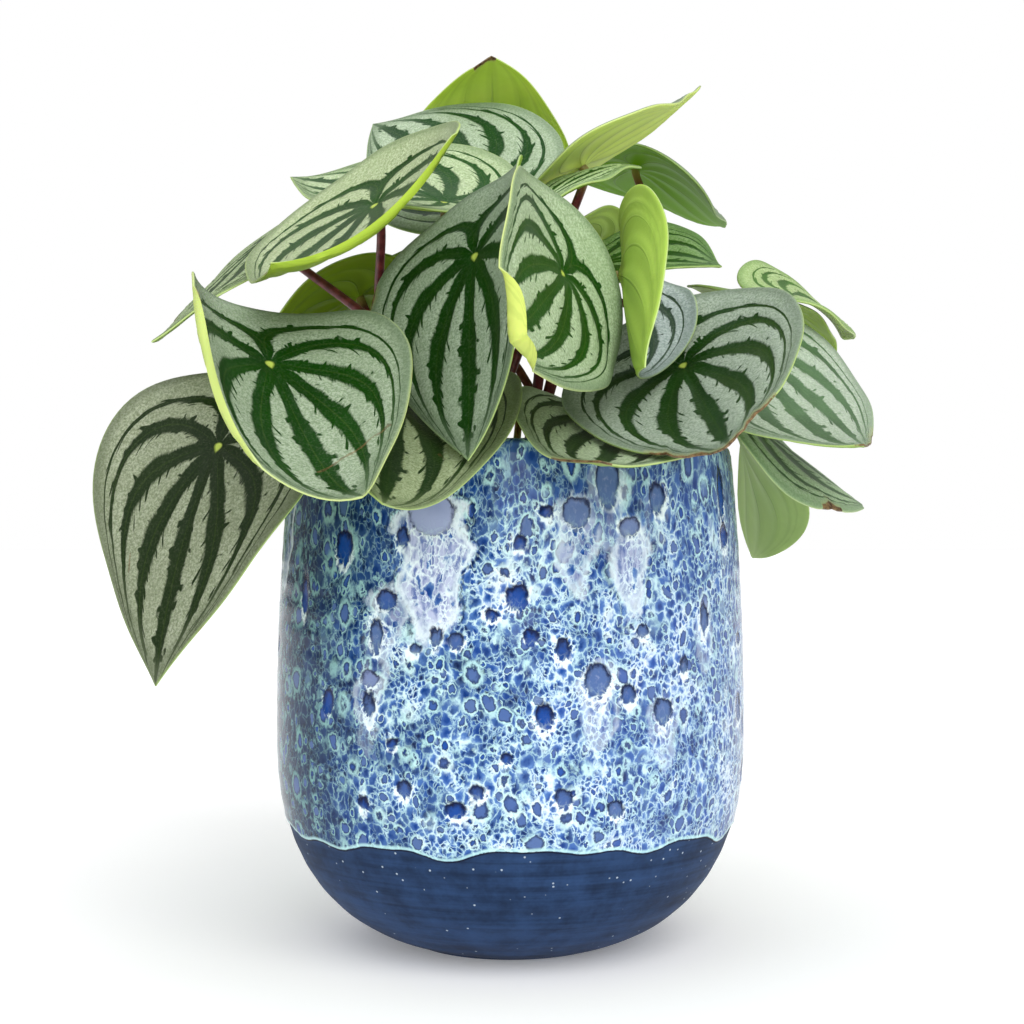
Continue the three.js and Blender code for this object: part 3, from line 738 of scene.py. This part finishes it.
def leafAxes(leaf):
    # towards the tip, to the left of it, and out of the upper face
    heading, pitch, roll = (math.radians(angle) for angle in leaf["turn"])
    flat, steep = math.cos(pitch), math.sin(pitch)
    ahead = Vector((flat * math.cos(heading), flat * math.sin(heading), steep))
    level = Vector((-steep * math.cos(heading), -steep * math.sin(heading), flat))
    side = level.cross(ahead)
    left = side * math.cos(roll) + level * math.sin(roll)
    up = level * math.cos(roll) - side * math.sin(roll)
    return ahead, left, up


def makeLeafDisc():
    # a flat disc of rings, which every blade starts from
    last = (blade["firstRing"], 0)
    disc = startDisc("leafDisc", blade["around"], last[0])
    for ring in range(1, blade["rings"]):
        share = ring / (blade["rings"] - 1)
        spread = 0.45 * share + 0.55 * math.sin(math.pi / 2 * share)
        last = growRing(blade["firstRing"] + (1 - blade["firstRing"]) * spread, 0, last)
    bpy.ops.object.mode_set(mode="OBJECT")
    return disc


# a margin that has rolled over: where the roll starts and ends, its width, and how far it turns
leafFolds = {
    "front_left": [(-0.64, -0.2, 2.6, 150)],
    "middle_right": [(-0.2, 0.14, 6.5, 165)],
    "upper_left": [(-0.04, 0.58, 2.4, 140)],
}

# marks of age: a scratch from one point of the blade to another, in millimetres from its hub, and a stretch
# of margin that has dried: its start and end, how deep it is nicked and how wide it is brown
leafScratches = {
    "front_left": ((46, -2), (38, 20)),
    "right_low": ((9, -27), (17, -31)),
    "hanging_left": ((34, -17), (39, -16)),
    "rim_middle": ((30, 12), (33, 14)),
}
driedMargins = {
    "front_right": (-0.26, 0.22, 2.6, 0.8),
    "right": (-0.03, 0.3, 0.5, 0.5),
    "far_left": (-0.34, -0.16, 1.2, 2.4),
    "right_small": (-0.08, 0.12, 0.8, 2.0),
    "right_low": (-0.56, -0.44, 1.0, 2.2),
    "top_back": (-0.1, 0.03, 0.8, 1.6),
    "rim_right": (-0.2, 0.06, 0.2, 0.7),
    "front_middle": (-0.66, -0.58, 0.2, 0.9),
}


def driedWindow(name, t):
    start, end, nick, brown = driedMargins.get(name, (3, 4, 0, 0))
    return np.clip(1 - ((t - (start + end) / 2) / ((end - start) / 2)) ** 4, 0, 1), nick, brown


def rollMargin(leaf, places, t, rho, folds):
    # rolls the outer strip of the blade over, towards its upper face
    places = places.copy()
    for start, end, width, turn in folds:
        strength = 1 - ((t - (start + end) / 2) / ((end - start) / 2)) ** 2
        edgeX, edgeY = marginAt(leaf, t)
        reach = np.hypot(edgeX, edgeY)
        wide = width * np.sqrt(np.clip(strength, 1e-4, 1))
        hinge = 1 - wide / reach
        rolled = np.where((strength > 0.001) & (rho > hinge))[0]
        edgeX, edgeY, hinge, wide, reach = (values[rolled] for values in (edgeX, edgeY, hinge, wide, reach))
        base = bendBlade(leaf, edgeX * hinge, edgeY * hinge)
        inner = bendBlade(leaf, edgeX * (hinge - 0.02), edgeY * (hinge - 0.02))
        cosine, sine = math.cos(0.03), math.sin(0.03)
        beside = bendBlade(
            leaf, hinge * (edgeX * cosine - edgeY * sine), hinge * (edgeX * sine + edgeY * cosine))
        outward = base - inner
        outward /= np.linalg.norm(outward, axis=1)[:, None]
        up = np.cross(outward, beside - base)
        up /= np.linalg.norm(up, axis=1)[:, None]
        far = (rho[rolled] - hinge) * reach
        angle = np.maximum(np.radians(turn) * np.sqrt(strength[rolled]) * far / wide, 1e-5)
        radius = far / angle
        places[rolled] = (
            base + outward * (radius * np.sin(angle))[:, None]
            + up * (radius * (1 - np.cos(angle)))[:, None])
    return places


def makeLeaf(name, disc, materials):
    leaf = {**usualShape, **usualStalk, **leaves[name]}
    look = {**usualLook, **leafTonesAndPaintedLight.get(name, {})}
    chance = random.Random(name)
    piece = copyOf(disc, name + "_blade")
    flat = points(piece)
    rho = np.hypot(flat[:, 0], flat[:, 1])
    t = np.where(rho > 1e-6, np.arctan2(flat[:, 1], flat[:, 0]) / math.pi, 0)
    edgeX, edgeY = marginAt(leaf, t)
    dried, nick, brown = driedWindow(name, t)
    reach = np.hypot(edgeX, edgeY)
    ragged = 0.5 + 0.3 * np.sin(61 * t + 1) + 0.2 * np.sin(139 * t + 2)
    ahead, side = (edge * rho * (1 - dried * nick * ragged / reach) for edge in (edgeX, edgeY))
    local = bendBlade(leaf, ahead, side)
    movePoints(piece, local)
    up = normals(piece)
    veinLine = np.minimum(np.abs(t) / np.maximum(1 - np.minimum(rho, 0.995) ** 3.2, 1e-3) ** 0.6, 1.9)
    band = veinLine / blade["bandGap"]
    away = np.abs(band - np.round(np.minimum(band, blade["outerBand"])))
    raised = (
        np.sin(np.pi * np.clip(away, 0, 0.5)) ** 2 * np.clip((rho - 0.06) / 0.25, 0, 1)
        * np.clip((1 - rho) / 0.12, 0, 1))
    height = blade["pillow"] * raised - blade["hubDip"] * np.exp(-(rho / blade["hubSpread"]) ** 2)
    phase = chance.uniform(0, 6.28)
    waves = np.sin(t * math.pi * 4 + phase) + 0.6 * np.sin(t * math.pi * 7 + 2 * phase)
    height += blade["ripple"] * waves * np.clip((rho - 0.55) / 0.45, 0, 1) ** 2
    local = local + up * height[:, None]
    if name in leafFolds:
        local = rollMargin(leaf, local, t, rho, leafFolds[name])
    axes = np.array([list(axis) for axis in leafAxes(leaf)])
    movePoints(piece, (local @ axes + np.array(leaf["hub"])) * mm)
    paint(piece, "fromHub", rho)
    paint(piece, "veinLine", veinLine)
    paint(piece, "leafSide", np.sin(t * math.pi))
    paint(piece, "driedEdge", np.where(dried > 0, brown * dried * (0.4 + ragged) - (1 - rho) * reach, -9))
    start, end = leafScratches.get(name, ((900, 900), (910, 900)))
    paint(piece, "bladePlace", np.stack([ahead, side, 0 * side], axis=1), "FLOAT_VECTOR", "vector")
    for layer, place in (("scratchStart", start), ("scratchEnd", end)):
        paint(piece, layer, np.tile((*place, 0), len(rho)), "FLOAT_VECTOR", "vector")
    for tint, colour in look.items():
        paint(piece, tint + "Tint", np.tile(rgb(*colour), len(rho)), "FLOAT_COLOR", "color")
    group = piece.vertex_groups.new(name="bladeThickness")
    margin = rho > blade["marginStart"]
    for chosen, weight in ((~margin, 1.0), (margin, blade["edgeThickness"])):
        group.add(np.where(chosen)[0].tolist(), weight, "REPLACE")
    for material in materials:
        piece.data.materials.append(material)
    shell = piece.modifiers.new("bladeShell", "SOLIDIFY")
    shell.thickness = blade["thickness"] * mm
    shell.offset = 0
    shell.vertex_group = group.name
    shell.material_offset = 1
    shell.material_offset_rim = 2
    applyModifiers(piece)
    smooth(piece, 70)
    finishPiece(piece, "leaf_blade", "leaf_" + name)


def weathered(colour, coords):
    # dried margins and scratches, over a face's own colour
    here, start, end = (attribute(name, "Vector") for name in ("bladePlace", "scratchStart", "scratchEnd"))

    def dot(a, b):
        return vectorCalc("DOT_PRODUCT", a, b, output="Value")

    line, away = vectorCalc("SUBTRACT", end, start), vectorCalc("SUBTRACT", here, start)
    share = calc("DIVIDE", dot(away, line), dot(line, line), clamp=True)
    apart = vectorCalc("SUBTRACT", away, vectorCalc("SCALE", line, scale=share))
    distance = calc("SQRT", dot(apart, apart))
    blots = noise(coords, 600, 3, 0.7)
    wander = noise(coords, 220, 1, 0.5)
    scratch = fade(distance + aboutHalf(blots, 1.4) + aboutHalf(wander, 1.6), 0.42, 0.1)
    margin = attribute("driedEdge") + aboutHalf(blots, 1.6)
    brown = mix(fade(blots, 0.35, 0.65), rgb(70, 48, 28), rgb(138, 112, 74))
    colour = mix(fade(margin, -1.8, 0.0) * 0.35, colour, rgb(176, 176, 116))
    return mix(calc("MAXIMUM", scratch * 0.6, fade(margin, -0.2, 0.35)), colour, brown)


def bandPlace(veinLine):
    # the number of the nearest band, and how far off its middle is
    band = veinLine / blade["bandGap"]
    nearest = calc("ROUND", calc("MINIMUM", band, float(blade["outerBand"])))
    return nearest, calc("ABSOLUTE", band - nearest)


def bandMask(rho, veinLine, leafSide):
    # 1 on the dark bands, whose edges are finely toothed, with a longer twig here and there
    nearest, away = bandPlace(veinLine)
    across, side = veinLine * 9.0, leafSide * 6.0

    def along(fineness, slant):
        run = rho * fineness - away * slant
        return addNode("CombineXYZ", X=run, Y=across, Z=side)[0]

    teeth = aboutHalf(noise(along(85.0, 5.0), 1.0, 3, 0.7), 0.12)
    twigs = fade(noise(along(30.0, 4.5), 1.0, 0, 0.5), 0.5, 0.84) ** 2.2 * 0.34
    wander = aboutHalf(noise(along(7.0, 0.0), 1.0, 1, 0.5), 0.16)
    width = fade(rho, 0.03, 0.36, 0.6, 0.235) * fade(rho, 0.45, 1.05, 1.0, 0.5)
    width = width * fade(nearest, 0.0, 4.0, 1.15, 0.85)
    reach = calc("MINIMUM", width + teeth + twigs + wander, fade(rho, 0.12, 0.25, 0.6, 0.4))
    edge = away - reach
    return fade(edge, 0.055, -0.04), away


def upperFaceMaterial():
    material, shader = newMaterial("silverBandedLeaf")
    coords = objectPlace()
    rho = attribute("fromHub")
    mask, away = bandMask(rho, attribute("veinLine"), attribute("leafSide"))
    silver, band, under = (attribute(name, "Color") for name in ("silverTint", "bandTint", "underTint"))
    grain = noise(coords, 1500, 3, 0.75)
    cloud = noise(coords, 60, 3, 0.6)
    frost = mix(
        fade(grain, 0.36, 0.66), mix(0.45, silver, band), mix(0.12, silver, (1, 1, 1, 1)))
    frost = mix(fade(cloud, 0.35, 0.7, 0.0, 0.35), frost, mix(0.35, silver, band))
    dark = mix(fade(cloud, 0.3, 0.7), mix(0.35, band, (0, 0.01, 0, 1)), band)
    dark = mix(fade(away, 0.035, 0.0, 0.0, 0.12), dark, mix(0.3, band, under))
    dark = mix(fade(grain, 0.45, 0.75, 0.0, 0.1), dark, silver)
    face = mix(mask, frost, dark)
    face = mix(fade(rho, 0.86, 0.97, 0.0, 0.6), face, mix(0.3, band, silver))
    face = mix(fade(rho, 0.984, 0.994, 0.0, 0.4), face, mix(0.5, silver, under))
    hub = fade(rho, 0.045, 0.02)
    face = weathered(mix(hub, face, rgb(186, 204, 92)), coords)
    rough = mix(mask, (0.42, 0.42, 0.42, 1), (0.34, 0.34, 0.34, 1))
    setSockets(
        shader, Base_Color=face, Roughness=rough, Specular_IOR_Level=0.17, Subsurface_Weight=0.05,
        Subsurface_Radius=(0.4, 1.0, 0.2), Subsurface_Scale=0.0006)
    bump(shader, grain * 0.6 + mask * -0.7, 0.00018, 0.8)
    return material


def lowerFaceMaterial():
    material, shader = newMaterial("paleLeafUnderside")
    coords = objectPlace()
    rho = attribute("fromHub")
    away = bandPlace(attribute("veinLine"))[1]
    under = attribute("underTint", "Color")
    cloud = noise(coords, 45, 4, 0.6)
    face = mix(fade(cloud, 0.3, 0.75, 0.0, 0.35), under, mix(0.5, under, rgb(96, 128, 48)))
    vein = fade(away, 0.05, 0.012) * fade(rho, 0.95, 0.5)
    face = mix(vein * 0.35, face, rgb(88, 118, 44))
    soft = fade(away, 0.3, 0.1) * 0.14
    face = weathered(mix(soft, face, rgb(98, 134, 52)), coords)
    setSockets(
        shader, Base_Color=face, Roughness=0.5, Specular_IOR_Level=0.08, Subsurface_Weight=0.1,
        Subsurface_Radius=(0.5, 1.0, 0.1), Subsurface_Scale=0.0008)
    bump(shader, vein + noise(coords, 900, 2, 0.6) * 0.25, 0.0003, 0.6)
    return material


def leafEdgeMaterial():
    material, shader = newMaterial("paleLeafEdge")
    coords = objectPlace()
    under = attribute("underTint", "Color")
    face = mix(
        fade(noise(coords, 90, 3, 0.6), 0.6, 0.72, 0.0, 0.5), mix(0.5, under, rgb(196, 214, 150)),
        rgb(150, 110, 70))
    setSockets(shader, Base_Color=weathered(face, coords), Roughness=0.45)
    return material


disc = makeLeafDisc()
leafMaterials = [upperFaceMaterial(), lowerFaceMaterial(), leafEdgeMaterial()]
for leafName in leaves:
    makeLeaf(leafName, disc, leafMaterials)
bpy.data.objects.remove(disc)
print("leaves are grown:", len(leaves))


# crowns at soil level, each in one piece with the red stalks that grow from it

crowns = {"front": (2, -17), "left": (-17, 3), "right": (18, 4), "back": (-1, 22)}
stalk = dict(
    radius=1.3, thickening=(1.2, 0.95), lean=0.35, start=4, steps=22, flare=1.25, flareLength=2.2,
    hubGap=0.3,
)
crown = dict(
    bottom=119, top=135.5, radius=7, sides=28, knobs=0.08, knobZone=3,
    rings=(
        (7, 8), (7, 12), (6.9, 15), (6.4, 17), (6.6, 17.6), (5.8, 19), (4.6, 20.4), (4.8, 20.9), (3.2, 22),
        (1.4, 22.5), (0.2, 22.6)),
)


def stalkRoute(leaf):
    base = Vector((*crowns[leaf["crown"]], crown["top"]))
    hub = Vector(leaf["hub"])
    up = leafAxes(leaf)[2]
    outward = hub - base
    outward.z = 0
    outward.normalize()
    sideways = Vector((-outward.y, outward.x, 0))
    start = base + outward * stalk["start"]
    rising = (
        start + Vector((0, 0, leaf["rise"])) + outward * leaf["rise"] * stalk["lean"]
        + sideways * leaf["sway"])
    end = hub - up * (blade["hubDip"] + stalk["hubGap"])
    arriving = end - up * leaf["reach"]
    return start, rising, arriving, end


def makeStalk(leaf):
    start, rising, arriving, end = stalkRoute(leaf)
    deselectAll()
    bpy.ops.curve.primitive_bezier_curve_add()
    rod = bpy.context.object
    first, last = rod.data.splines[0].bezier_points
    for point in (first, last):
        point.handle_left_type = point.handle_right_type = "FREE"
    first.co, first.handle_left, first.handle_right = start * mm, (start * 2 - rising) * mm, rising * mm
    last.co, last.handle_left, last.handle_right = end * mm, arriving * mm, (end * 2 - arriving) * mm
    first.radius, last.radius = stalk["thickening"]
    rod.data.resolution_u = stalk["steps"]
    rod.data.bevel_depth = stalk["radius"] * mm
    rod.data.bevel_resolution = 2
    rod.data.use_fill_caps = True
    rod.location = (0, 0, 0)
    bpy.ops.object.convert(target="MESH")
    rod = bpy.context.object
    places = points(rod) / mm
    paint(rod, "alongStalk", np.clip(
        np.linalg.norm(places - np.array(start), axis=1) / (end - start).length, 0, 1))
    # it widens where it meets its blade
    offset = places - np.array(end)
    nearEnd = np.exp(-(np.linalg.norm(offset, axis=1) / stalk["flareLength"]) ** 2)
    up = np.array(leafAxes(leaf)[2])
    radial = offset - np.outer(offset @ up, up)
    places += radial * (nearEnd * (stalk["flare"] - 1))[:, None]
    movePoints(rod, places * mm)
    return rod


def makeCrown(name, material):
    x, y = crowns[name]
    place = (x * mm, y * mm, crown["bottom"] * mm)
    stem = startDisc(name + "_crown", crown["sides"], crown["radius"] * mm, place, flip=True)
    last = (crown["radius"], crown["bottom"])
    for radius, rise in crown["rings"]:
        last = growRing(radius, crown["bottom"] + rise, last, x, y)
    closeRings()
    places = points(stem) / mm
    angle = np.arctan2(places[:, 1] - y, places[:, 0] - x)
    upper = places[:, 2] > crown["top"] - crown["knobZone"]
    knobs = 1 + np.where(upper, crown["knobs"] * np.sin(5 * angle + places[:, 2]), 0)
    places[:, 0] = x + (places[:, 0] - x) * knobs
    places[:, 1] = y + (places[:, 1] - y) * knobs
    movePoints(stem, places * mm)
    paint(stem, "alongStalk", np.zeros(len(places)))
    own = [leaf for leaf in leaves.values() if leaf["crown"] == name]
    rods = [makeStalk({**usualShape, **usualStalk, **leaf}) for leaf in own]
    pick(stem)
    for rod in rods:
        rod.select_set(True)
    bpy.ops.object.join()
    stem.data.materials.clear()
    stem.data.materials.append(material)
    smooth(stem, 50)
    finishPiece(stem, "stalk", "crown_" + name)


def stalkMaterial():
    material, shader = newMaterial("redStalk")
    coords = objectPlace()
    along = attribute("alongStalk")
    mottle = noise(coords, 420, 3, 0.6)
    red = mix(fade(mottle, 0.3, 0.7), rgb(84, 26, 34), rgb(128, 54, 58))
    red = mix(fade(along, 0.93, 1.0, 0.0, 0.7), red, rgb(150, 150, 70))
    red = mix(fade(along, 0.1, 0.0, 0.0, 0.6), red, rgb(92, 84, 48))
    setSockets(shader, Base_Color=red, Roughness=0.38, Subsurface_Weight=0.05, Subsurface_Scale=0.001)
    bump(shader, mottle, 0.0002, 0.5)
    return material


redStalk = stalkMaterial()
for crownName in crowns:
    makeCrown(crownName, redStalk)
print("crowns and stalks are in place")


# potting mix, a little higher in the middle, with loose chips on it

soil = dict(
    height=133, dome=2.5, slope=6, floor=8.3, floorInset=7, gap=0.6, sides=120, middle=1.5, ringStep=1.3,
    lastStep=1.6, lowerHeights=(120, 90, 62, 40, 22, 13, 9), rough=0.9,
)
chips = dict(
    count=240, seed=5, size=(0.5, 1.9), shape=((0.7, 1.8), (0.6, 1.1), (0.35, 0.7)), uneven=(0.8, 1.2),
    tip=0.5, raised=0.4, clearOfEdge=4,
)


def soilEdge(height):
    return wallRadius(height) - pot["wall"] - soil["gap"]


def soilTop(radius):
    edge = soilEdge(soil["height"])
    if radius > edge - soil["slope"]:
        return soil["height"] - (radius - (edge - soil["slope"])) / soil["slope"]
    return soil["height"] + soil["dome"] * (1 - (radius / (edge - soil["slope"])) ** 2)


def makeSoil():
    last = (soil["middle"], soilTop(soil["middle"]))
    bed = startDisc("soilBed", soil["sides"], last[0] * mm, (0, 0, last[1] * mm))
    edge = soilEdge(soil["height"])
    while last[0] < edge - soil["lastStep"]:
        radius = last[0] + soil["ringStep"]
        last = growRing(radius, soilTop(radius), last)
    last = growRing(edge, soilTop(edge), last)
    for height in soil["lowerHeights"]:
        last = growRing(soilEdge(height), height, last)
    growRing(wallRadius(last[1]) - pot["wall"] - soil["floorInset"], soil["floor"], last)
    closeRings()
    places = points(bed) / mm
    for place in places:
        if place[2] > soil["height"] - 1.5 and math.hypot(place[0], place[1]) < edge - 0.5:
            spot = Vector((place[0], place[1], 0))
            crumb, heap = chaos.noise(spot / 2.2), chaos.noise(spot / 7 + Vector((9, 4, 0)))
            place[2] += soil["rough"] * (crumb + 0.7 * heap)
    movePoints(bed, places * mm)
    smooth(bed, 40)
    bed.data.materials.append(soilMaterial())
    finishPiece(bed, "potting_soil", "soil")


def makeChips(material):
    chance = random.Random(chips["seed"])
    deselectAll()
    bpy.ops.mesh.primitive_ico_sphere_add(subdivisions=1, radius=1)
    pattern = bpy.context.object
    made = []
    for _ in range(chips["count"]):
        radius = (soilEdge(soil["height"]) - chips["clearOfEdge"]) * math.sqrt(chance.random())
        angle = chance.uniform(0, 2 * math.pi)
        chip = copyOf(pattern, "chip")
        size = chance.uniform(*chips["size"])
        shape = np.array([size * chance.uniform(*ends) for ends in chips["shape"]])
        uneven = np.array([[chance.uniform(*chips["uneven"])] for _ in chip.data.vertices])
        spin, tip = chance.uniform(0, 6.28), chance.uniform(-chips["tip"], chips["tip"])
        turn = Matrix.Rotation(spin, 3, "Z") @ Matrix.Rotation(tip, 3, "X")
        height = soilTop(radius) + shape[2] * chips["raised"]
        place = np.array([radius * math.cos(angle), radius * math.sin(angle), height])
        places = (points(chip) * shape * uneven) @ np.array(turn).T + place
        movePoints(chip, places * mm)
        paint(chip, "chipTone", np.full(len(places), chance.random()))
        made.append(chip)
    bpy.data.objects.remove(pattern)
    pick(made[0])
    for chip in made[1:]:
        chip.select_set(True)
    bpy.ops.object.join()
    made[0].name = "soilChips"
    made[0].data.materials.append(material)
    finishPiece(made[0], "potting_soil")


def soilMaterial():
    material, shader = newMaterial("pottingMix")
    coords = objectPlace()
    crumbs = noise(coords, 380, 5, 0.7)
    patches = noise(coords, 90, 3, 0.6)
    colour = mix(fade(crumbs, 0.35, 0.7), rgb(30, 22, 16), rgb(84, 64, 46))
    colour = mix(fade(patches, 0.4, 0.8, 0.0, 0.5), colour, rgb(48, 38, 30))
    setSockets(shader, Base_Color=colour, Roughness=0.95)
    bump(shader, crumbs, 0.0012, 0.9)
    return material


def chipMaterial():
    material, shader = newMaterial("barkAndPerlite")
    coords = objectPlace()
    tone = attribute("chipTone")
    fibres = noise(coords, 900, 3, 0.6)
    bark = mix(fibres, rgb(58, 38, 24), rgb(120, 86, 56))
    colour = mix(
        calc("GREATER_THAN", tone, 0.82), bark,
        mix(fibres, rgb(190, 188, 180), rgb(232, 230, 224)))
    setSockets(shader, Base_Color=colour, Roughness=0.9)
    bump(shader, fibres, 0.0004, 0.8)
    return material


makeSoil()
makeChips(chipMaterial())
print("soil is in the pot")
